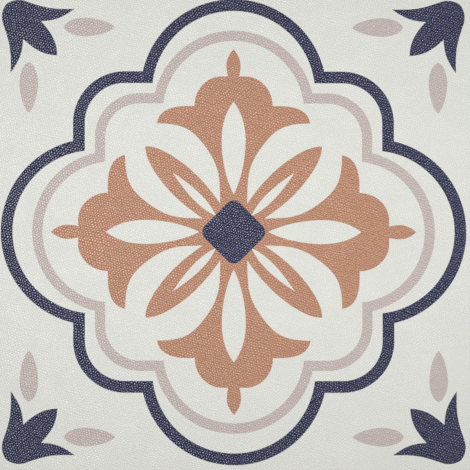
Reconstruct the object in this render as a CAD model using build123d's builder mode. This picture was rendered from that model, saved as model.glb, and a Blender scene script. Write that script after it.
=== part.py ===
# A square vinyl floor tile, lying on its back with its printed face up.
#
# Backing, printed film and clear wear layer are pressed into one sheet for good, so the tile
# is one solid. A die cuts its sides and comes down on the face: it rolls the face's rim over
# and leaves the back's rim square. The fine pebble grain of the face is too small to be
# modelled here. All lengths are in millimetres.
#
# The origin is the centre of the back. +Z points out of the face, and X and Y run along
# the sides.

from build123d import *

import os

# Side of the square that one tile covers. Tiles are laid edge to edge, with no joint.
TILE_SIDE = 304.8
# From the back to the top of the wear layer.
TILE_THICKNESS = 1.5
# Radius of the rolled rim round the face.
RIM_RADIUS = 0.25
# Radius of the die's four corners, seen from above.
CORNER_RADIUS = 0.6

with BuildPart() as vinyl_tile:
    with BuildSketch(Plane.XY) as cut_outline:
        RectangleRounded(TILE_SIDE, TILE_SIDE, CORNER_RADIUS)
    extrude(amount=TILE_THICKNESS)
    face = vinyl_tile.faces().sort_by(Axis.Z)[-1]
    fillet(face.edges(), radius=RIM_RADIUS)

vinyl_tile.part.label = "vinyl_tile"

os.makedirs("parts", exist_ok=True)
export_step(vinyl_tile.part, "parts/vinyl_tile.step")
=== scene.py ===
# Dresses a square vinyl floor tile and lays it in a plain pale studio, seen from straight above.
#
# The face is one flat sheet of clear wear layer over a printed film. The print is cut into the
# mesh along its true outlines, each ink has a material of its own, and a pebble grain is
# embossed over all of them. The sides show the cut body of the tile, and the back is plain.
#
# Lengths are in metres and angles in radians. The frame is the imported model's: the origin is
# the centre of the tile's back, +Z points out of the face, and X and Y run along the sides.

import logging
import math
from dataclasses import dataclass, field
from enum import Enum

import bmesh
import bpy
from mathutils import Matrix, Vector
from mathutils.geometry import delaunay_2d_cdt
from mathutils.kdtree import KDTree


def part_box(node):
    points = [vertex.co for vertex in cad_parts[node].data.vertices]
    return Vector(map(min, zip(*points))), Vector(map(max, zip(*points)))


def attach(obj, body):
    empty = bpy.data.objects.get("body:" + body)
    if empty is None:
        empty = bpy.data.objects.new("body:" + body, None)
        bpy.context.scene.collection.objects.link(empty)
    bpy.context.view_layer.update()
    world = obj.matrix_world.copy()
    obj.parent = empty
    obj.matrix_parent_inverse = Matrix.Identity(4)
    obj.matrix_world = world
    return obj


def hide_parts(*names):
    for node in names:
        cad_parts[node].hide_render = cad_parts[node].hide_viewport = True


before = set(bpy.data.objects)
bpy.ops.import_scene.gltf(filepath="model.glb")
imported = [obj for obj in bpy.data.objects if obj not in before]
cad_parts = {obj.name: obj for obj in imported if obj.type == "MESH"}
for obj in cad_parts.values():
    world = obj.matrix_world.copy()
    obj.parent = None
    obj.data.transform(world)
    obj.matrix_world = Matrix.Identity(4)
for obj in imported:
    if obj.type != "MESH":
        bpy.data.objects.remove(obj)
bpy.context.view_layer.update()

MM = 0.001
TILE_NODE = "vinyl_tile"
QUARTER_TURN = math.pi / 2
QUARTERS = tuple(k * QUARTER_TURN for k in range(4))

log = logging.getLogger("vinyl_tile")

Point = tuple[float, float]
Place = tuple[float, float, float]
Colour = tuple[float, float, float, float]
Socket = bpy.types.NodeSocket
Term = float | Place | Colour | Socket
Vert = bmesh.types.BMVert
Rows = list[list[int]]


class Ink(Enum):
    """The colours that the film is printed in. The ground is the film's own pale colour."""

    GROUND = "ground"
    NAVY = "navy"
    TERRACOTTA = "terracotta"
    MAUVE = "mauve"


class Surface(Enum):
    """The surfaces of the tile that carry no print."""

    CUT_SIDE = "cut_side"
    BACKING = "backing"


def srgb(red: int, green: int, blue: int) -> Colour:
    """Turns a colour as a screen shows it into the linear colour that a shader takes.

    Args:
        red: Red, 0 to 255.
        green: Green, 0 to 255.
        blue: Blue, 0 to 255.

    Returns:
        The linear colour, with an alpha of 1.
    """
    def linear(value: float) -> float:
        """Undoes the screen's curve for one channel."""
        return value / 12.92 if value <= 0.04045 else ((value + 0.055) / 1.055) ** 2.4

    return (linear(red / 255), linear(green / 255), linear(blue / 255), 1.0)


@dataclass
class Outline:
    """A line on the face, drawn point by point. As a closed line its end meets its start."""

    points: list[Point]

    STEP = 1.0 * MM
    FEWEST_STEPS = 4
    SAME_PLACE = 0.01 * MM

    def line(self, to: Point) -> "Outline":
        """Goes straight on to a point.

        Args:
            to: Where the stretch ends.

        Returns:
            This outline.
        """
        self.points.append(to)
        return self

    def curve(self, leave: Point, arrive: Point, to: Point) -> "Outline":
        """Goes on along a cubic curve.

        Args:
            leave: The handle that the curve sets out towards.
            arrive: The handle that the curve comes in from.
            to: Where the stretch ends.

        Returns:
            This outline.
        """
        corners = [Vector(p) for p in (self.points[-1], leave, arrive, to)]
        reach = sum((b - a).length for a, b in zip(corners, corners[1:]))
        count = max(self.FEWEST_STEPS, math.ceil(reach / self.STEP))
        for k in range(1, count + 1):
            t = k / count
            weights = ((1 - t) ** 3, 3 * t * (1 - t) ** 2, 3 * t * t * (1 - t), t ** 3)
            spot = sum((w * c for w, c in zip(weights, corners)), Vector((0.0, 0.0)))
            self.points.append((spot.x, spot.y))
        return self

    def arc(self, centre: Point, radius: float, start: float, end: float) -> "Outline":
        """Goes on along a round arc, with a straight stretch up to its start.

        Args:
            centre: The arc's centre.
            radius: The arc's radius.
            start: The direction of its start, seen from the centre.
            end: The direction of its end, seen from the centre.

        Returns:
            This outline.
        """
        count = max(self.FEWEST_STEPS, math.ceil(abs(end - start) * radius / self.STEP))
        for k in range(count + 1):
            angle = start + (end - start) * k / count
            spot = (centre[0] + radius * math.cos(angle), centre[1] + radius * math.sin(angle))
            self.points.append(spot)
        return self

    def with_mirror(self) -> "Outline":
        """Closes a half that starts and ends on the Y axis with its image across that axis."""
        return Outline(self.points + [(-x, y) for x, y in reversed(self.points[1:-1])])

    def turned(self, angle: float) -> "Outline":
        """Copies the outline, turned about the origin.

        Args:
            angle: The turn, anticlockwise.

        Returns:
            The turned copy.
        """
        c, s = math.cos(angle), math.sin(angle)
        return Outline([(c * x - s * y, s * x + c * y) for x, y in self.points])

    def around(self) -> list["Outline"]:
        """Copies the outline into each of the four quarters of the tile."""
        return [self.turned(turn) for turn in QUARTERS]

    def joined_round(self) -> list[Point]:
        """Joins the four copies end to end, into the points of one closed line."""
        return [point for copy in self.around() for point in copy.points]

    def moved(self, x: float, y: float) -> "Outline":
        """Copies the outline, moved sideways by x and up by y."""
        return Outline([(px + x, py + y) for px, py in self.points])

    def flipped(self, x_sign: int, y_sign: int) -> "Outline":
        """Copies the outline, mirrored in each direction whose sign is -1."""
        return Outline([(x * x_sign, y * y_sign) for x, y in self.points])

    def strained(self, squeeze: float, skew: float) -> "Outline":
        """Copies the outline, squeezed along X by one share and sheared by another."""
        return Outline([(x * (1 - squeeze) - y * skew, y - x * skew) for x, y in self.points])

    def anticlockwise(self) -> list[Point]:
        """Gives the points in anticlockwise order, with no two in the same place.

        Returns:
            The points.
        """
        kept: list[Point] = []
        for point in self.points:
            if not kept or math.dist(point, kept[-1]) > self.SAME_PLACE:
                kept.append(point)
        if math.dist(kept[0], kept[-1]) < self.SAME_PLACE:
            kept.pop()
        pairs = zip(kept, kept[1:] + kept[:1])
        area = sum(a[0] * b[1] - b[0] * a[1] for a, b in pairs)
        return kept if area > 0 else kept[::-1]


@dataclass
class PrintedShape:
    """One closed shape of the print, in one ink."""

    ink: Ink
    outline: Outline


def printed(ink: Ink, outlines: list[Outline]) -> list[PrintedShape]:
    """Prints several outlines in one ink."""
    return [PrintedShape(ink, outline) for outline in outlines]


@dataclass
class QuatrefoilBand:
    """A line that frames the ornament: four round lobes, with a square shoulder between each two.

    The lengths are measured from the tile's centre to the middle of the line.
    """

    ink: Ink
    width: float
    lobe_centre: float
    lobe_radius: float
    shoulder: float
    corner_radius: float

    def edge(self, offset: float) -> Outline:
        """Draws the line's edge.

        Args:
            offset: How far the edge lies outside the middle of the line.

        Returns:
            The closed edge.
        """
        lobe = self.lobe_radius + offset
        shoulder = self.shoulder + offset
        corner = self.corner_radius + offset
        pivot = self.shoulder - self.corner_radius
        dip = math.asin((shoulder - self.lobe_centre) / lobe)
        part = Outline([])
        part.arc((pivot, pivot), corner, 0.0, QUARTER_TURN)
        part.arc((0.0, self.lobe_centre), lobe, dip, math.pi - dip)
        return Outline(part.joined_round())

    def shapes(self) -> list[PrintedShape]:
        """Gives the band as a filled shape with the ground printed over its middle."""
        return [
            PrintedShape(self.ink, self.edge(self.width / 2)),
            PrintedShape(Ink.GROUND, self.edge(-self.width / 2)),
        ]


@dataclass
class CornerSprig:
    """A three-petalled sprig that points from each corner to the centre.

    Y runs along the diagonal, outward from the tile's centre, and X across it.
    """

    apex: float = 205.6 * MM
    shoulder: Point = (10.0 * MM, 198.7 * MM)
    side_tip: Point = (28.9 * MM, 172.7 * MM)
    notch: Point = (8.1 * MM, 182.3 * MM)
    centre_tip: float = 159.5 * MM

    def shapes(self) -> list[PrintedShape]:
        """Draws the sprig and sets it in the four corners.

        Returns:
            The four sprigs.
        """
        half = Outline([(0.0, self.apex)])
        half.curve((2.8 * MM, self.apex), (7.8 * MM, 203.1 * MM), self.shoulder)
        half.curve((15.9 * MM, 186.6 * MM), (17.95 * MM, 183.0 * MM), self.side_tip)
        half.curve((19.4 * MM, 174.3 * MM), (14.9 * MM, 176.0 * MM), self.notch)
        half.curve((7.65 * MM, 173.6 * MM), (6.85 * MM, 166.8 * MM), (0.0, self.centre_tip))
        sprig = half.with_mirror()
        return printed(Ink.NAVY, [sprig.turned(turn + QUARTER_TURN / 2) for turn in QUARTERS])


@dataclass
class LensLeaf:
    """A small leaf, blunt outward and sharp inward, on each side of a corner sprig.

    Lengths along the leaf are measured from the tile's centre line that it is square to.
    """

    off_axis: float = 130.96 * MM
    blunt_end: float = 108.6 * MM
    widest: float = 95.2 * MM
    sharp_end: float = 75.9 * MM
    half_width: float = 5.97 * MM

    def shapes(self) -> list[PrintedShape]:
        """Draws the leaf and sets a pair of it at each side of the tile.

        Returns:
            The eight leaves.
        """
        wide = self.half_width
        half = Outline([(0.0, self.sharp_end)])
        half.curve((3.6 * MM, 78.8 * MM), (wide, 88.8 * MM), (wide, self.widest))
        half.curve((wide, 100.2 * MM), (4.1 * MM, 107.2 * MM), (0.0, self.blunt_end))
        beside = half.with_mirror().moved(self.off_axis, 0.0)
        pair = [beside, beside.flipped(-1, 1)]
        return printed(Ink.MAUVE, [leaf.turned(turn) for turn in QUARTERS for leaf in pair])


@dataclass
class PalmetteArm:
    """One of the cross's four arms: a bud on a neck, two curled side leaves, and an open eye.

    Y runs outward from the tile's centre along the arm, and X across it.
    """

    tip: float = 117.0 * MM
    neck: Point = (3.7 * MM, 99.5 * MM)
    collar: Point = (7.7 * MM, 99.5 * MM)
    notch: Point = (25.0 * MM, 80.55 * MM)
    side_leaf: Point = (28.8 * MM, 80.55 * MM)
    side_tip: Point = (49.1 * MM, 69.4 * MM)
    waist: Point = (18.7 * MM, 55.3 * MM)
    foot: Point = (8.6 * MM, 18.5 * MM)
    eye_half_width: float = 7.65 * MM
    upright_eye: Point = (24.1 * MM, 83.35 * MM)
    level_eye: Point = (22.1 * MM, 81.75 * MM)

    def arm(self) -> Outline:
        """Draws the arm down to the tile's centre, where the diamond covers it.

        Returns:
            The arm that points up.
        """
        half = Outline([(0.0, self.tip)])
        half.curve((5.1 * MM, 110.8 * MM), (5.2 * MM, 107.0 * MM), self.neck)
        half.line(self.collar)
        half.curve((16.6 * MM, 99.5 * MM), (25.0 * MM, 91.6 * MM), self.notch)
        half.line(self.side_leaf)
        half.curve((36.1 * MM, 80.55 * MM), (47.5 * MM, 79.5 * MM), self.side_tip)
        half.curve((32.0 * MM, 69.4 * MM), (26.3 * MM, 65.3 * MM), self.waist)
        half.curve((8.1 * MM, 41.3 * MM), (9.1 * MM, 34.0 * MM), self.foot)
        half.line((self.foot[0], 0.0)).line((0.0, 0.0))
        return half.with_mirror()

    def eye(self, foot: float, tip: float) -> Outline:
        """Draws the open lens in the middle of the arm.

        Args:
            foot: Where its inner end lies.
            tip: Where its outer end lies.

        Returns:
            The lens.
        """
        wide = self.eye_half_width
        waist = tip - 25.3 * MM
        half = Outline([(0.0, tip)])
        half.curve((5.7 * MM, tip - 7.6 * MM), (wide, waist + 9.5 * MM), (wide, waist))
        half.curve((wide, waist - 11.8 * MM), (4.5 * MM, foot + 8.4 * MM), (0.0, foot))
        return half.with_mirror()

    def shapes(self) -> list[PrintedShape]:
        """Draws the cross.

        Returns:
            The four arms, then the four eyes.
        """
        lenses = [self.eye(*self.upright_eye), self.eye(*self.level_eye)] * 2
        eyes = [lens.turned(turn) for lens, turn in zip(lenses, QUARTERS)]
        return printed(Ink.TERRACOTTA, self.arm().around()) + printed(Ink.GROUND, eyes)


@dataclass
class DiagonalLeaf:
    """One of the four leaves between the arms, with a slim open vein.

    Y runs outward along the leaf. The leaf leans a little from the diagonal towards the X axis,
    and so do its images in the other three quarters of the tile.
    """

    tip: float = 78.6 * MM
    widest: Point = (9.74 * MM, 43.5 * MM)
    foot: Point = (7.2 * MM, 19.3 * MM)
    hidden_foot: Point = (6.0 * MM, 12.0 * MM)
    lean: float = math.radians(0.85)
    offset: float = 0.13 * MM
    vein_tip: float = 54.5 * MM
    vein_widest: Point = (2.75 * MM, 31.6 * MM)
    vein_foot: float = 15.3 * MM
    vein_offset: float = 0.75 * MM

    def leaf(self) -> Outline:
        """Draws the leaf down to where the diamond covers it.

        Returns:
            The leaf in the top left quarter.
        """
        wide = self.widest[0]
        half = Outline([(0.0, self.tip)])
        half.curve((7.6 * MM, 72.0 * MM), (wide, 52.4 * MM), self.widest)
        half.curve((wide, 34.9 * MM), (8.8 * MM, 27.4 * MM), self.foot)
        half.line(self.hidden_foot).line((0.0, self.hidden_foot[1]))
        along = half.with_mirror().turned(self.lean)
        return along.moved(-self.offset, 0.0).turned(QUARTER_TURN / 2)

    def vein(self) -> Outline:
        """Draws the open vein inside the leaf.

        Returns:
            The vein in the top left quarter.
        """
        wide = self.vein_widest[0]
        half = Outline([(0.0, self.vein_tip)])
        half.curve((1.6 * MM, 46.7 * MM), (wide, 39.5 * MM), self.vein_widest)
        half.curve((wide, 25.6 * MM), (2.1 * MM, 21.0 * MM), (0.0, self.vein_foot))
        return half.with_mirror().moved(-self.vein_offset, 0.0).turned(QUARTER_TURN / 2)

    def shapes(self) -> list[PrintedShape]:
        """Sets the leaf and its vein in the four quarters.

        Returns:
            The four leaves, then the four veins.
        """
        signs = [(1, 1), (-1, 1), (-1, -1), (1, -1)]
        leaves = [self.leaf().flipped(*sign) for sign in signs]
        veins = [self.vein().flipped(*sign) for sign in signs]
        return printed(Ink.TERRACOTTA, leaves) + printed(Ink.GROUND, veins)


@dataclass
class CentreDiamond:
    """The square with round corners that stands on its corner in the middle of the cross."""

    side: float = 31.8 * MM
    corner_radius: float = 5.6 * MM
    steps: int = 8

    def shapes(self) -> list[PrintedShape]:
        """Gives the diamond."""
        square = rounded_square(self.side / 2, self.corner_radius, self.steps, self.steps)
        return printed(Ink.NAVY, [Outline(square).turned(QUARTER_TURN / 2)])


def rounded_square(half_side: float, radius: float, per_side: int, per_corner: int) -> list[Point]:
    """Lays points round a square with round corners, anticlockwise.

    Args:
        half_side: Half of the square's side.
        radius: Radius of its corners.
        per_side: How many stretches each straight side is divided into.
        per_corner: How many stretches each corner is divided into.

    Returns:
        The points, always in the same order for the same two counts.
    """
    reach = half_side - radius
    part = [(half_side, -reach + 2 * reach * k / per_side) for k in range(per_side)]
    for k in range(per_corner):
        angle = QUARTER_TURN * k / per_corner
        part.append((reach + radius * math.cos(angle), reach + radius * math.sin(angle)))
    return Outline(part).joined_round()


@dataclass
class TilePrint:
    """The whole print: a framed cross of leaves, with a sprig in each corner of the tile."""

    outer_band: QuatrefoilBand = field(default_factory=lambda: QuatrefoilBand(
        ink=Ink.NAVY,
        width=7.5 * MM,
        lobe_centre=89.27 * MM,
        lobe_radius=55.88 * MM,
        shoulder=98.93 * MM,
        corner_radius=29.39 * MM,
    ))
    inner_band: QuatrefoilBand = field(default_factory=lambda: QuatrefoilBand(
        ink=Ink.MAUVE,
        width=6.58 * MM,
        lobe_centre=77.06 * MM,
        lobe_radius=48.44 * MM,
        shoulder=85.47 * MM,
        corner_radius=25.36 * MM,
    ))
    sprig: CornerSprig = field(default_factory=CornerSprig)
    lens_leaf: LensLeaf = field(default_factory=LensLeaf)
    arm: PalmetteArm = field(default_factory=PalmetteArm)
    leaf: DiagonalLeaf = field(default_factory=DiagonalLeaf)
    diamond: CentreDiamond = field(default_factory=CentreDiamond)
    film_squeeze: float = 0.00105
    film_skew: float = 0.00125

    def shapes(self) -> list[PrintedShape]:
        """Gives every shape in the order of printing. A later one covers an earlier one.

        The film is a little squeezed and skewed, as it comes off the roll.

        Returns:
            The shapes, first to last.
        """
        motifs = (
            self.outer_band, self.inner_band, self.sprig, self.lens_leaf,
            self.arm, self.leaf, self.diamond,
        )
        drawn = [shape for motif in motifs for shape in motif.shapes()]
        return [PrintedShape(shape.ink, shape.outline.strained(self.film_squeeze, self.film_skew))
                for shape in drawn]


class NodeSheet:
    """A node tree that is being filled, with short calls for the nodes that are used most."""

    def __init__(self, tree: bpy.types.NodeTree) -> None:
        """Starts an empty sheet on a node tree."""
        self.tree = tree
        tree.nodes.clear()

    def add(self, kind: str, inputs: dict[str | int, Term] | None = None,
            **settings: object) -> bpy.types.Node:
        """Adds a node.

        Args:
            kind: The node's type.
            inputs: What goes into its sockets, by name or place: a value, or a socket to link.
            settings: The node's own settings.

        Returns:
            The node.
        """
        node = self.tree.nodes.new(kind)
        for name, setting in settings.items():
            setattr(node, name, setting)
        for name, value in (inputs or {}).items():
            if isinstance(value, Socket):
                self.tree.links.new(value, node.inputs[name])
            else:
                node.inputs[name].default_value = value
        return node

    def where(self) -> Socket:
        """Reads where on its object each point lies, in metres."""
        return self.add("ShaderNodeTexCoord").outputs["Object"]

    def axes(self, vector: Socket) -> bpy.types.NodeOutputs:
        """Splits a vector into its X, Y and Z."""
        return self.add("ShaderNodeSeparateXYZ", {"Vector": vector}).outputs

    def length(self, vector: Socket) -> Socket:
        """Measures a vector."""
        return self.add("ShaderNodeVectorMath", {0: vector}, operation="LENGTH").outputs["Value"]

    def math(self, operation: str, *terms: Term, clamp: bool = False) -> Socket:
        """Adds a sum.

        Args:
            operation: The kind of sum, such as MULTIPLY.
            terms: Its terms, in order.
            clamp: True to keep the result within 0 to 1.

        Returns:
            The result.
        """
        places = dict(enumerate(terms))
        return self.add("ShaderNodeMath", places, operation=operation, use_clamp=clamp).outputs[0]

    def vector(self, operation: str, *terms: Term) -> Socket:
        """Adds a vector sum.

        Args:
            operation: The kind of sum, such as ADD.
            terms: Its terms, in order, the last one a number for SCALE.

        Returns:
            The resulting vector.
        """
        places = dict(enumerate(terms))
        if operation == "SCALE":
            places = {"Vector": terms[0], "Scale": terms[1]}
        return self.add("ShaderNodeVectorMath", places, operation=operation).outputs[0]

    def remap(self, value: Socket, low: float, high: float,
              to_low: float = 0.0, to_high: float = 1.0) -> Socket:
        """Adds a clamped change of range.

        Args:
            value: What is remapped.
            low: The value that becomes to_low.
            high: The value that becomes to_high.
            to_low: The result at low, and past it.
            to_high: The result at high, and past it.

        Returns:
            The remapped value.
        """
        places = {"Value": value, "From Min": low, "From Max": high,
                  "To Min": to_low, "To Max": to_high}
        return self.add("ShaderNodeMapRange", places).outputs["Result"]

    def noise(self, place: Socket, size: Term, detail: float,
              roughness: float) -> bpy.types.NodeOutputs:
        """Adds a noise.

        Args:
            place: The coordinates that it is read at.
            size: The size of its blotches.
            detail: How many finer layers are added.
            roughness: How strong the finer layers are.

        Returns:
            The noise, as Fac and as Color.
        """
        scale = self.math("DIVIDE", 1.0, size)
        places = {"Vector": place, "Scale": scale, "Detail": detail, "Roughness": roughness}
        return self.add("ShaderNodeTexNoise", places).outputs

    def mix(self, factor: Socket, first: Term, second: Term) -> Socket:
        """Adds a mix of two colours.

        Args:
            factor: The share of the second colour.
            first: The first colour.
            second: The second colour.

        Returns:
            The mixed colour.
        """
        places = {0: factor, 6: first, 7: second}
        return self.add("ShaderNodeMix", places, data_type="RGBA").outputs[2]

    def dress(self, colour: Socket, roughness: Socket, height: Socket, depth: float,
              strength: float = 1.0, **plain: float) -> None:
        """Ends a material's sheet with its shader, over a relief.

        Args:
            colour: The colour of the surface.
            roughness: Its roughness.
            height: Its relief, as a share of the depth.
            depth: The depth of the relief.
            strength: How strongly the relief shows.
            plain: The shader's other numbers, by name.
        """
        bump = self.add("ShaderNodeBump", {
            "Height": height, "Distance": depth, "Strength": strength})
        shader = self.add("ShaderNodeBsdfPrincipled", {
            "Base Color": colour, "Roughness": roughness, "Normal": bump.outputs[0], **plain})
        self.add("ShaderNodeOutputMaterial", {"Surface": shader.outputs[0]})


def new_material(name: str) -> tuple[bpy.types.Material, NodeSheet]:
    """Makes an empty material.

    Args:
        name: The material's name.

    Returns:
        The material and its sheet.
    """
    material = bpy.data.materials.new(name)
    material.use_nodes = True
    return material, NodeSheet(material.node_tree)


def add_object(name: str, data: bpy.types.ID) -> bpy.types.Object:
    """Puts a new object in the scene.

    Args:
        name: The object's name.
        data: Its mesh, lamp or camera.

    Returns:
        The object.
    """
    item = bpy.data.objects.new(name, data)
    bpy.context.scene.collection.objects.link(item)
    return item


class EffectGroup:
    """A shader node group that several of the tile's materials share."""

    name = "effect"
    inputs: dict[str, tuple[str, float | Colour]] = {}
    outputs: dict[str, str] = {}

    def build(self) -> bpy.types.NodeTree:
        """Makes the group once, with its named inputs and outputs.

        Returns:
            The group, old or new.
        """
        tree = bpy.data.node_groups.get(self.name)
        if tree is not None:
            return tree
        tree = bpy.data.node_groups.new(self.name, "ShaderNodeTree")
        for name, (kind, start) in self.inputs.items():
            socket = tree.interface.new_socket(name, in_out="INPUT", socket_type=kind)
            socket.default_value = start
        for name, kind in self.outputs.items():
            tree.interface.new_socket(name, in_out="OUTPUT", socket_type=kind)
        sheet = NodeSheet(tree)
        given = sheet.add("NodeGroupInput")
        results = self.fill(sheet, given.outputs)
        sheet.add("NodeGroupOutput", results)
        return tree

    def fill(self, sheet: NodeSheet, given: bpy.types.NodeOutputs) -> dict[str, Socket]:
        """Draws what is inside the group.

        Args:
            sheet: The group's sheet.
            given: The group's inputs, by name.

        Returns:
            A socket for each of the group's outputs, by name.
        """
        raise NotImplementedError

    def place(self, sheet: NodeSheet, **values: Term) -> bpy.types.NodeOutputs:
        """Puts the group in a material.

        Args:
            sheet: The material's sheet.
            values: What goes into its inputs, with _ for a space.

        Returns:
            The group's outputs in that material.
        """
        places = {name.replace("_", " "): value for name, value in values.items()}
        return sheet.add("ShaderNodeGroup", places, node_tree=self.build()).outputs


class PebbleEmboss(EffectGroup):
    """Low round pebbles, close together in bending rows, as the press plate leaves them.

    Spacing is the way from the middle of one pebble to the middle of the next.
    """

    name = "pebble_emboss"
    inputs = {
        "Spacing": ("NodeSocketFloat", 1.68 * MM),
        "Irregularity": ("NodeSocketFloat", 0.12),
        "Dome Power": ("NodeSocketFloat", 2.3),
        "Row Bend": ("NodeSocketFloat", 8.0 * MM),
        "Row Reach": ("NodeSocketFloat", 40.0 * MM),
    }
    outputs = {"Height": "NodeSocketFloat", "Valley": "NodeSocketFloat"}

    # Close-packed rows are two sets of rows, each this many spacings apart, half a step askew.
    # The second set lies 40 steps further off as well, so that its pebbles stray in their own way.
    ROW_STEP = math.sqrt(3)
    ROW_SHIFTS = ((0.0, 0.0, 0.0), (40.5, 40.5, 0.0))
    ROW_ANGLE = math.radians(17)
    BEND_DETAIL = 4.0
    BEND_ROUGHNESS = 0.65
    VALLEY_FLOOR = -0.3

    def fill(self, sheet: NodeSheet, given: bpy.types.NodeOutputs) -> dict[str, Socket]:
        """Bends the coordinates, then raises a dome over each point of a loose close packing.

        Args:
            sheet: The group's sheet.
            given: The group's inputs, by name.

        Returns:
            The height of the pebbles, and how deep in a valley each place is.
        """
        place = sheet.where()
        drift = sheet.noise(place, given["Row Reach"], self.BEND_DETAIL, self.BEND_ROUGHNESS)
        centred = sheet.vector("SUBTRACT", drift["Color"], (0.5, 0.5, 0.5))
        bend = sheet.vector("SCALE", centred, given["Row Bend"])
        bent = sheet.vector("ADD", place, bend)
        askew = sheet.add("ShaderNodeMapping", {
            "Vector": bent, "Rotation": (0.0, 0.0, self.ROW_ANGLE)}).outputs[0]
        cells = sheet.vector("SCALE", askew, sheet.math("DIVIDE", 1.0, given["Spacing"]))
        gaps = [self.away_from_rows(sheet, cells, shift, given["Irregularity"])
                for shift in self.ROW_SHIFTS]
        away = sheet.math("MINIMUM", *gaps)
        fall = sheet.math("POWER", sheet.math("MULTIPLY", away, 2.0), given["Dome Power"])
        height = sheet.math("SUBTRACT", 1.0, fall)
        # How deep in a valley each place is; the inks use it to paint shade into the valleys.
        valley = sheet.remap(height, self.VALLEY_FLOOR, 1.0, to_low=1.0, to_high=0.0)
        return {"Height": height, "Valley": valley}

    def away_from_rows(self, sheet: NodeSheet, cells: Socket, shift: Place,
                       irregularity: Socket) -> Socket:
        """Measures how far each place is from the nearest pebble of one set of rows.

        Args:
            sheet: The group's sheet.
            cells: The coordinates, in spacings.
            shift: How far this set is shifted, in steps along and across its rows.
            irregularity: How far the pebbles stray from their places.

        Returns:
            The distance, in spacings.
        """
        squeezed = sheet.vector("MULTIPLY", cells, (1.0, 1 / self.ROW_STEP, 0.0))
        shifted = sheet.vector("ADD", squeezed, shift)
        places = {"Vector": shifted, "Scale": 1.0, "Randomness": irregularity}
        nearest = sheet.add("ShaderNodeTexVoronoi", places, voronoi_dimensions="2D", feature="F1")
        gap = sheet.vector("SUBTRACT", shifted, nearest.outputs["Position"])
        return sheet.length(sheet.vector("MULTIPLY", gap, (1.0, self.ROW_STEP, 0.0)))


class InkLayAndShade(EffectGroup):
    """An ink as the printing cylinder lays it: a faint cloudiness, a finer dot grain, and painted
    shade in the valleys between the pebbles.
    """

    name = "ink_lay_and_shade"
    inputs = {
        "Ink": ("NodeSocketColor", (0.5, 0.5, 0.5, 1.0)),
        "Thin": ("NodeSocketColor", (0.6, 0.6, 0.6, 1.0)),
        "Deep": ("NodeSocketColor", (0.4, 0.4, 0.4, 1.0)),
        "Valley": ("NodeSocketFloat", 0.0),
        "Valley Shade": ("NodeSocketFloat", 0.2),
    }
    outputs = {"Color": "NodeSocketColor"}

    CLOUD_SIZE = 22.0 * MM
    DOT_SIZE = 0.5 * MM

    def fill(self, sheet: NodeSheet, given: bpy.types.NodeOutputs) -> dict[str, Socket]:
        """Mixes the thin and the deep ink over the even one, and paints shade into the valleys
        between the pebbles.

        Args:
            sheet: The group's sheet.
            given: The group's inputs, by name.

        Returns:
            The colour of the ink, with painted shade in the valleys.
        """
        place = sheet.where()
        cloud = sheet.noise(place, self.CLOUD_SIZE, detail=3.0, roughness=0.55)["Fac"]
        dots = sheet.noise(place, self.DOT_SIZE, detail=1.0, roughness=0.5)["Fac"]
        thin = sheet.remap(cloud, low=0.45, high=0.75, to_high=0.6)
        deep = sheet.remap(dots, low=0.45, high=0.75, to_high=0.5)
        lighter = sheet.mix(thin, given["Ink"], given["Thin"])
        printed = sheet.mix(deep, lighter, given["Deep"])
        # Painted shade: each valley between pebbles is darkened towards the deep ink.
        shade = sheet.math("MULTIPLY", given["Valley"], given["Valley Shade"])
        return {"Color": sheet.mix(shade, printed, given["Deep"])}


class HandlingMarks(EffectGroup):
    """What packing and laying leave: soft dull patches and a few hair-fine rubs."""

    name = "handling_marks"
    inputs = {
        "Patch Size": ("NodeSocketFloat", 60.0 * MM),
        "Rub Length": ("NodeSocketFloat", 30.0 * MM),
    }
    outputs = {"Dull": "NodeSocketFloat", "Rub": "NodeSocketFloat"}

    RUB_ANGLE = 0.6
    RUB_SLIMNESS = 14.0

    def fill(self, sheet: NodeSheet, given: bpy.types.NodeOutputs) -> dict[str, Socket]:
        """Draws the patches from a coarse noise and the rubs from a stretched one.

        Args:
            sheet: The group's sheet.
            given: The group's inputs, by name.

        Returns:
            The patches and the rubs.
        """
        place = sheet.where()
        patches = sheet.noise(place, given["Patch Size"], detail=4.0, roughness=0.6)["Fac"]
        turned = sheet.add("ShaderNodeMapping", {
            "Vector": place, "Rotation": (0.0, 0.0, self.RUB_ANGLE),
            "Scale": (1.0, self.RUB_SLIMNESS, 1.0)}).outputs[0]
        streaks = sheet.noise(turned, given["Rub Length"], detail=3.0, roughness=0.7)["Fac"]
        return {
            "Dull": sheet.remap(patches, low=0.4, high=0.7),
            "Rub": sheet.remap(streaks, low=0.66, high=0.74),
        }


class FillerSpecks(EffectGroup):
    """Grains of chalk filler in the tile's body, where it is cut or left bare."""

    name = "filler_specks"
    inputs = {"Speck Size": ("NodeSocketFloat", 0.3 * MM)}
    outputs = {"Pale": "NodeSocketFloat", "Dark": "NodeSocketFloat", "Height": "NodeSocketFloat"}

    def fill(self, sheet: NodeSheet, given: bpy.types.NodeOutputs) -> dict[str, Socket]:
        """Draws pale and dark grains from two cuts of one noise.

        Args:
            sheet: The group's sheet.
            given: The group's inputs, by name.

        Returns:
            The pale grains, the dark grains and how far they stand out.
        """
        size = given["Speck Size"]
        grains = sheet.noise(sheet.where(), size, detail=2.0, roughness=0.6)["Fac"]
        return {
            "Pale": sheet.remap(grains, low=0.6, high=0.68),
            "Dark": sheet.remap(grains, low=0.4, high=0.32),
            "Height": grains,
        }


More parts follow.
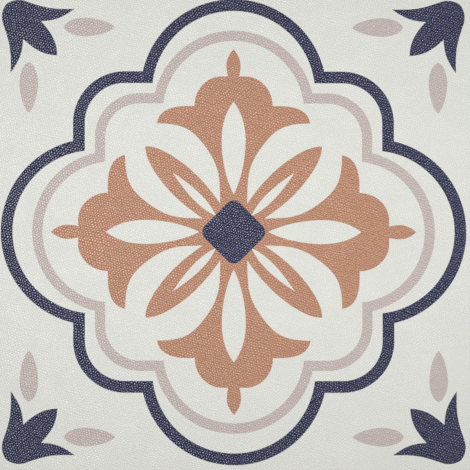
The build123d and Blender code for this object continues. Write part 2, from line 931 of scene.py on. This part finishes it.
@dataclass(frozen=True)
class PrintedInk:
    """The finish of one ink under the clear, embossed wear layer, with painted shade in the
    valleys between its pebbles.
    """

    ink: Ink
    even: Colour
    thin: Colour
    deep: Colour
    # Share of painted shade, towards the deep ink, in the valleys between pebbles.
    painted_valley_shade: float
    gloss_roughness: float
    dull_roughness: float = 0.05
    emboss_depth: float = 0.1 * MM
    wear_layer_ior: float = 1.52

    def material(self) -> bpy.types.Material:
        """Makes the ink's material.

        Returns:
            The material.
        """
        material, sheet = new_material(f"{self.ink.value}_ink")
        pebbles = PebbleEmboss().place(sheet)
        marks = HandlingMarks().place(sheet)
        # The ink's colour, with painted shade in the pebbles' valleys.
        ink_with_shade = InkLayAndShade().place(sheet, Ink=self.even, Thin=self.thin, Deep=self.deep,
                             Valley=pebbles["Valley"], Valley_Shade=self.painted_valley_shade)
        worn = sheet.math("ADD", marks["Dull"], marks["Rub"], clamp=True)
        extra = sheet.math("MULTIPLY", worn, self.dull_roughness)
        roughness = sheet.math("ADD", extra, self.gloss_roughness)
        sheet.dress(ink_with_shade["Color"], roughness, pebbles["Height"], self.emboss_depth,
                    IOR=self.wear_layer_ior)
        return material


@dataclass(frozen=True)
class CutBody:
    """The finish of the cut sides: pale filled vinyl, with the film and wear layer on top."""

    body: Colour = srgb(203, 201, 192)
    chalk: Colour = srgb(226, 224, 217)
    grit: Colour = srgb(160, 157, 149)
    wear_layer: Colour = srgb(183, 184, 177)
    wear_layer_thickness: float = 0.3 * MM
    film_blur: float = 0.02 * MM
    clean_roughness: float = 0.52
    dull_roughness: float = 0.6
    stroke_size: float = 0.25 * MM
    stroke_squeeze: float = 0.05
    cut_depth: float = 0.05 * MM
    cut_strength: float = 0.8

    def material(self, thickness: float) -> bpy.types.Material:
        """Makes the material of the cut sides.

        Args:
            thickness: The tile's thickness.

        Returns:
            The material.
        """
        material, sheet = new_material(Surface.CUT_SIDE.value)
        specks = FillerSpecks().place(sheet)
        marks = HandlingMarks().place(sheet, Patch_Size=12.0 * MM, Rub_Length=8.0 * MM)
        place = sheet.where()
        film = thickness - self.wear_layer_thickness
        height = sheet.axes(place)["Z"]
        over_film = sheet.remap(height, film - self.film_blur, film + self.film_blur)
        chalky = sheet.mix(specks["Pale"], self.body, self.chalk)
        gritty = sheet.mix(specks["Dark"], chalky, self.grit)
        colour = sheet.mix(over_film, gritty, self.wear_layer)
        upright = sheet.add("ShaderNodeMapping", {
            "Vector": place, "Scale": (1.0, 1.0, self.stroke_squeeze)}).outputs[0]
        strokes = sheet.noise(upright, self.stroke_size, detail=2.0, roughness=0.6)["Fac"]
        relief = sheet.math("ADD", strokes, specks["Height"])
        roughness = sheet.remap(
            marks["Dull"], 0.0, 1.0, self.clean_roughness, self.dull_roughness)
        sheet.dress(colour, roughness, relief, self.cut_depth, self.cut_strength)
        return material


@dataclass(frozen=True)
class PlainBacking:
    """The finish of the back: pale grey, cloudy vinyl with the calender's woven mark."""

    vinyl: Colour = srgb(190, 190, 184)
    cloud: Colour = srgb(178, 177, 170)
    chalk: Colour = srgb(210, 210, 204)
    grit: Colour = srgb(158, 157, 150)
    weave: float = 4.0 * MM
    weave_depth: float = 0.15 * MM
    clean_roughness: float = 0.5
    dull_roughness: float = 0.62
    rub_share: float = 0.5

    def material(self) -> bpy.types.Material:
        """Makes the material of the back.

        Returns:
            The material.
        """
        material, sheet = new_material(Surface.BACKING.value)
        specks = FillerSpecks().place(sheet, Speck_Size=1.3 * MM)
        marks = HandlingMarks().place(sheet, Patch_Size=90.0 * MM, Rub_Length=70.0 * MM)
        axes = sheet.axes(sheet.where())
        waves = []
        for axis in ("X", "Y"):
            phase = sheet.math("MULTIPLY", axes[axis], 2 * math.pi / self.weave)
            waves.append(sheet.math("SINE", phase))
        woven = sheet.math("MULTIPLY", *waves)
        relief = sheet.math("ADD", woven, specks["Height"])
        clouded = sheet.mix(marks["Dull"], self.vinyl, self.cloud)
        chalky = sheet.mix(specks["Pale"], clouded, self.chalk)
        gritty = sheet.mix(specks["Dark"], chalky, self.grit)
        rub = sheet.math("MULTIPLY", marks["Rub"], self.rub_share)
        rubbed = sheet.mix(rub, gritty, self.chalk)
        roughness = sheet.remap(
            marks["Dull"], 0.0, 1.0, self.clean_roughness, self.dull_roughness)
        sheet.dress(rubbed, roughness, relief, self.weave_depth)
        return material


# Each deep colour is the ink's darker dot tone and also the colour of the painted shade in the
# valleys between pebbles.
INKS = (
    PrintedInk(
        ink=Ink.GROUND,
        even=srgb(219, 220, 213),
        thin=srgb(226, 226, 219),
        deep=srgb(205, 205, 197),
        painted_valley_shade=0.0,
        gloss_roughness=0.28,
    ),
    PrintedInk(
        ink=Ink.NAVY,
        even=srgb(72, 74, 105),
        thin=srgb(78, 80, 112),
        deep=srgb(18, 20, 40),
        painted_valley_shade=1.0,
        gloss_roughness=0.15,
    ),
    PrintedInk(
        ink=Ink.TERRACOTTA,
        even=srgb(195, 145, 117),
        thin=srgb(200, 151, 123),
        deep=srgb(138, 92, 69),
        painted_valley_shade=0.6,
        gloss_roughness=0.21,
    ),
    PrintedInk(
        ink=Ink.MAUVE,
        even=srgb(200, 187, 183),
        thin=srgb(205, 193, 189),
        deep=srgb(160, 147, 142),
        painted_valley_shade=0.5,
        gloss_roughness=0.23,
    ),
)


@dataclass
class VinylTile:
    """The tile as one closed mesh, with its print cut into the flat of its face.

    The clearance is the share of its spacing by which a grid keeps clear of the outlines.
    """

    low: Vector
    high: Vector
    artwork: TilePrint = field(default_factory=TilePrint)
    rim_radius: float = 0.25 * MM
    corner_radius: float = 0.6 * MM
    rim_steps: int = 5
    corner_steps: int = 4
    grid: float = 5.0 * MM
    back_grid: float = 12.0 * MM
    clearance: float = 0.4
    face_map_share: float = 0.835
    back_map_share: float = 0.15

    def __post_init__(self) -> None:
        """Works out the sizes that follow from the box of the CAD body."""
        self.side = self.high.x - self.low.x
        self.thickness = self.high.z - self.low.z
        wall = self.thickness - self.rim_radius
        self.unrolled = self.rim_radius * QUARTER_TURN + wall
        self.side_steps = round(self.side / self.grid)
        self.slots = [*Ink, *Surface]

    def loop(self, outside: float) -> list[Point]:
        """Lays the points of one ring round the tile.

        Args:
            outside: How far the ring lies outside the side of the tile, less than 0 for inside.

        Returns:
            The ring's points.
        """
        half = self.side / 2 + outside
        radius = self.corner_radius + outside
        return rounded_square(half, radius, self.side_steps, self.corner_steps)

    def filling(self, outlines: list[list[Point]], spacing: float) -> list[Point]:
        """Lays a square grid of points over the face, clear of the outlines.

        Args:
            outlines: The outlines, the face's own first.
            spacing: The grid's spacing.

        Returns:
            The points of the grid.
        """
        corners = [point for outline in outlines for point in outline]
        tree = KDTree(len(corners))
        for index, (x, y) in enumerate(corners):
            tree.insert((x, y, 0.0), index)
        tree.balance()
        count = round(self.side / spacing)
        lines = [self.side * (k / count - 0.5) for k in range(1, count)]
        clear = spacing * self.clearance
        return [(x, y) for x in lines for y in lines if tree.find((x, y, 0.0))[2] > clear]

    def triangulate(self, outlines: list[list[Point]], spacing: float
                    ) -> tuple[list[Point], Rows, Rows, dict[int, int]]:
        """Divides a flat of the tile into triangles whose edges follow every outline.

        Args:
            outlines: The outlines, the flat's own first.
            spacing: The spacing of the points between the outlines.

        Returns:
            The points, the triangles, the outlines round each triangle, and where each point
            of the flat's own outline went.
        """
        places = [Vector((x / MM, y / MM)) for outline in outlines for x, y in outline]
        loops = []
        start = 0
        for outline in outlines:
            loops.append(list(range(start, start + len(outline))))
            start += len(outline)
        places += [Vector((x / MM, y / MM)) for x, y in self.filling(outlines, spacing)]
        inside_only = 1
        merge_within = 1e-4
        keep_sources = True
        points, _, faces, sources, _, within = delaunay_2d_cdt(
            places, [], loops, inside_only, merge_within, keep_sources)
        border = {}
        for index, origins in enumerate(sources):
            for origin in origins:
                if origin < len(outlines[0]):
                    border[origin] = index
        return [(p.x * MM, p.y * MM) for p in points], faces, within, border

    def build_mesh(self) -> bpy.types.Mesh:
        """Builds the closed mesh, with a material place and a map place for each face.

        Returns:
            The mesh.
        """
        bm = bmesh.new()
        unfolded = bm.loops.layers.uv.new("OFBake")
        spread: dict[Vert, Point] = {}
        rim = self.add_face(bm, spread)
        foot = self.add_sides(bm, spread, rim)
        back = self.add_back(bm, foot)
        self.lay_out(bm, unfolded, spread, back)
        mesh = bpy.data.meshes.new("vinyl_tile_printed")
        bm.to_mesh(mesh)
        bm.free()
        return mesh

    def add_face(self, bm: bmesh.types.BMesh, spread: dict[Vert, Point]) -> list[Vert]:
        """Adds the flat of the face, cut along the print.

        Args:
            bm: The mesh.
            spread: Takes where each vertex lies when the sides are unfolded outward.

        Returns:
            The vertices round the flat.
        """
        shapes = self.artwork.shapes()
        border_line = self.loop(-self.rim_radius)
        outlines = [border_line] + [shape.outline.anticlockwise() for shape in shapes]
        points, faces, within, border = self.triangulate(outlines, self.grid)
        verts = [bm.verts.new((x, y, self.high.z)) for x, y in points]
        spread.update(zip(verts, points))
        inks = [Ink.GROUND] + [shape.ink for shape in shapes]
        for corners, sources in zip(faces, within):
            face = bm.faces.new([verts[k] for k in corners])
            face.material_index = self.slots.index(inks[max(sources)])
        return [verts[border[k]] for k in range(len(border_line))]

    def add_sides(self, bm: bmesh.types.BMesh, spread: dict[Vert, Point],
                  rim: list[Vert]) -> list[Vert]:
        """Adds the rolled rim and the cut sides.

        Args:
            bm: The mesh.
            spread: Takes where each vertex lies when the sides are unfolded outward.
            rim: The vertices round the flat of the face.

        Returns:
            The vertices round the back.
        """
        levels = []
        for k in range(1, self.rim_steps + 1):
            angle = QUARTER_TURN * k / self.rim_steps
            inset = self.rim_radius * (1 - math.sin(angle))
            drop = self.rim_radius * (1 - math.cos(angle))
            levels.append((-inset, self.high.z - drop, self.rim_radius * angle, Ink.GROUND))
        levels.append((0.0, self.low.z, self.unrolled, Surface.CUT_SIDE))
        above = rim
        for outside, height, travelled, finish in levels:
            ring = [bm.verts.new((x, y, height)) for x, y in self.loop(outside)]
            spread.update(zip(ring, self.loop(travelled - self.rim_radius)))
            for k in range(len(ring)):
                after = (k + 1) % len(ring)
                face = bm.faces.new((above[k], ring[k], ring[after], above[after]))
                face.material_index = self.slots.index(finish)
                face.smooth = True
            above = ring
        return above

    def add_back(self, bm: bmesh.types.BMesh, foot: list[Vert]) -> set[bmesh.types.BMFace]:
        """Adds the flat back.

        Args:
            bm: The mesh.
            foot: The vertices round the back.

        Returns:
            The faces of the back.
        """
        line = self.loop(0.0)
        points, faces, _, border = self.triangulate([line], self.back_grid)
        places = {border[k]: foot[k] for k in range(len(line))}
        verts = []
        for index, (x, y) in enumerate(points):
            verts.append(places.get(index) or bm.verts.new((x, y, self.low.z)))
        back = set()
        for corners in faces:
            face = bm.faces.new([verts[k] for k in reversed(corners)])
            face.material_index = self.slots.index(Surface.BACKING)
            back.add(face)
        for before, after in zip(foot, foot[1:] + foot[:1]):
            bm.edges.get((before, after)).smooth = False
        return back

    def lay_out(self, bm: bmesh.types.BMesh, layer: bmesh.types.BMLayerItem,
                spread: dict[Vert, Point], back: set[bmesh.types.BMFace]) -> None:
        """Gives the face and the unfolded sides most of the map, and the back a small corner.

        Args:
            bm: The mesh.
            layer: The layer of the map.
            spread: Where each vertex lies when the sides are unfolded outward.
            back: The faces of the back.
        """
        past_side = self.unrolled - self.rim_radius
        face_scale = self.face_map_share / (self.side + 2 * past_side)
        back_scale = self.back_map_share / self.side
        margin = (1 - self.face_map_share - self.back_map_share) / 3
        face_middle = margin + self.face_map_share / 2
        back_middle = 1 - margin - self.back_map_share / 2
        for face in bm.faces:
            for corner in face.loops:
                if face in back:
                    x, y = corner.vert.co.x, corner.vert.co.y
                    place = (back_middle + x * back_scale, back_middle + y * back_scale)
                else:
                    x, y = spread[corner.vert]
                    place = (face_middle + x * face_scale, face_middle + y * face_scale)
                corner[layer].uv = place

    def build(self) -> bpy.types.Object:
        """Makes the tile, dresses it and sets it in the frame in place of the CAD body.

        Returns:
            The tile.
        """
        mesh = self.build_mesh()
        finishes = {finish.ink: finish.material() for finish in INKS}
        finishes[Surface.CUT_SIDE] = CutBody().material(self.thickness)
        finishes[Surface.BACKING] = PlainBacking().material()
        for slot in self.slots:
            mesh.materials.append(finishes[slot])
        tile = add_object("vinyl_tile_printed", mesh)
        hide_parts(TILE_NODE)
        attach(tile, "root")
        return tile


@dataclass(frozen=True)
class SoftBox:
    """A square studio lamp that faces the middle of the tile.

    A lamp that isn't mirrored lights the inks alone, as one behind a polarising sheet does when
    the lens wears the crossed filter.
    """

    name: str
    place: Place
    side: float
    brightness: float
    mirrored: bool = True

    def build(self) -> None:
        """Hangs the lamp. At a brightness of 1 it is as bright as white paper in full light."""
        lamp = bpy.data.lights.new(self.name, "AREA")
        lamp.shape = "SQUARE"
        lamp.size = self.side
        lamp.energy = self.brightness * math.pi * self.side ** 2
        holder = add_object(self.name, lamp)
        holder.location = self.place
        holder.rotation_euler = Vector(self.place).to_track_quat("Z", "Y").to_euler()
        holder.visible_camera = False
        holder.visible_glossy = self.mirrored


@dataclass
class Studio:
    """The plain pale floor, the soft light and the camera over the tile.

    The walls' top and the ceiling's edge are angles above the horizon.
    """

    floor_radius: float = 0.6
    floor_segments: int = 96
    fade_from: float = 0.2
    fade_to: float = 0.57
    floor_gap: float = 0.2 * MM
    floor_colour: Colour = srgb(226, 226, 223)
    background: Colour = srgb(226, 226, 223)
    sky_colour: Colour = (1.0, 1.0, 1.0, 1.0)
    sky_strength: float = 0.1
    wall_top: float = math.radians(12)
    ceiling_from: float = math.radians(20)
    camera_height: float = 1.5
    camera_aim: Point = (0.83 * MM, -1.92 * MM)
    camera_lean: Point = (-12.0 * MM, -17.0 * MM)
    view_side: float = 300.3 * MM
    lamps: tuple[SoftBox, ...] = (
        SoftBox("glint_box", place=(-0.4, 0.1, 2.1), side=0.33, brightness=29.0),
        SoftBox("left_fill", place=(-0.22, 0.02, 0.47), side=0.2, brightness=8.8, mirrored=False),
        SoftBox("right_fill", place=(0.22, 0.02, 0.47), side=0.2, brightness=10.3, mirrored=False),
        SoftBox("back_light", place=(0.5, -0.4, -1.6), side=0.8, brightness=9.0),
    )

    def build_floor(self) -> None:
        """Lays a round floor that fades into the background and can't be seen from below."""
        bm = bmesh.new()
        bmesh.ops.create_circle(
            bm, cap_ends=True, radius=self.floor_radius, segments=self.floor_segments)
        mesh = bpy.data.meshes.new("studio_floor")
        bm.to_mesh(mesh)
        bm.free()
        mesh.materials.append(self.floor_material())
        floor = add_object("studio_floor", mesh)
        floor.location.z = -self.floor_gap

    def floor_material(self) -> bpy.types.Material:
        """Makes the floor's material: matt, clear from below and clear towards its edge.

        It holds back no light, so that the lamp under it reaches the tile's back.

        Returns:
            The material.
        """
        material, sheet = new_material("floor_paint")
        faded = sheet.remap(sheet.length(sheet.where()), self.fade_from, self.fade_to)
        below = sheet.add("ShaderNodeNewGeometry").outputs["Backfacing"]
        to_lamp = sheet.add("ShaderNodeLightPath").outputs["Is Shadow Ray"]
        clear = sheet.math("MAXIMUM", faded, sheet.math("MAXIMUM", below, to_lamp))
        matt = sheet.add("ShaderNodeBsdfDiffuse", {"Color": self.floor_colour})
        nothing = sheet.add("ShaderNodeBsdfTransparent")
        both = sheet.add("ShaderNodeMixShader", {
            0: clear, 1: matt.outputs[0], 2: nothing.outputs[0]})
        sheet.add("ShaderNodeOutputMaterial", {"Surface": both.outputs[0]})
        return material

    def build_sky(self) -> None:
        """Sets an even light all round, which looks like the floor to the camera.

        The gloss sees the pale background too, as low walls under a dim ceiling. The world isn't
        sampled as a lamp, which keeps the grain clear of noise.
        """
        world = bpy.data.worlds.new("studio_sky")
        world.use_nodes = True
        world.cycles.sampling_method = "NONE"
        bpy.context.scene.world = world
        sheet = NodeSheet(world.node_tree)
        rise = sheet.axes(sheet.add("ShaderNodeTexCoord").outputs["Generated"])["Z"]
        walls = sheet.remap(rise, math.sin(self.wall_top), math.sin(self.ceiling_from),
                            to_low=1.0, to_high=0.0)
        path = sheet.add("ShaderNodeLightPath").outputs
        mirrored = sheet.math("MULTIPLY", path["Is Glossy Ray"], walls)
        direct = sheet.math("MAXIMUM", path["Is Camera Ray"], path["Is Transmission Ray"])
        seen = sheet.math("MAXIMUM", direct, mirrored)
        light = sheet.add("ShaderNodeBackground", {
            "Color": self.sky_colour, "Strength": self.sky_strength})
        picture = sheet.add("ShaderNodeBackground", {
            "Color": self.background, "Strength": 1.0})
        both = sheet.add("ShaderNodeMixShader", {
            0: seen, 1: light.outputs[0], 2: picture.outputs[0]})
        sheet.add("ShaderNodeOutputWorld", {"Surface": both.outputs[0]})

    def build_camera(self, face_height: float) -> None:
        """Hangs the camera over the tile, a hair off square, with the tile's sides just outside.

        Args:
            face_height: How high the tile's face lies.
        """
        camera = bpy.data.cameras.new("overhead_camera")
        camera.lens = camera.sensor_width * self.camera_height / self.view_side
        holder = add_object("overhead_camera", camera)
        x, y = self.camera_lean
        off_square = Vector((x, y, self.camera_height))
        holder.location = Vector((*self.camera_aim, face_height)) + off_square
        holder.rotation_euler = (math.atan2(-y, off_square.z), math.atan2(x, off_square.z), 0.0)
        bpy.context.scene.camera = holder

    def build(self, face_height: float) -> None:
        """Sets up the whole studio.

        Args:
            face_height: How high the tile's face lies.
        """
        self.build_floor()
        self.build_sky()
        for lamp in self.lamps:
            lamp.build()
        self.build_camera(face_height)
        bpy.context.scene.view_settings.view_transform = "Standard"


def main() -> None:
    """Builds the tile and the studio, and reports each."""
    logging.basicConfig(level=logging.INFO, format="%(name)s: %(message)s")
    low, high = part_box(TILE_NODE)
    tile = VinylTile(Vector(low), Vector(high)).build()
    log.info("%s: %d faces in %d materials", tile.name, len(tile.data.polygons),
             len(tile.data.materials))
    Studio().build(high[2])
    log.info("studio: floor, sky, lamps and camera")


if __name__ == "__main__":
    main()
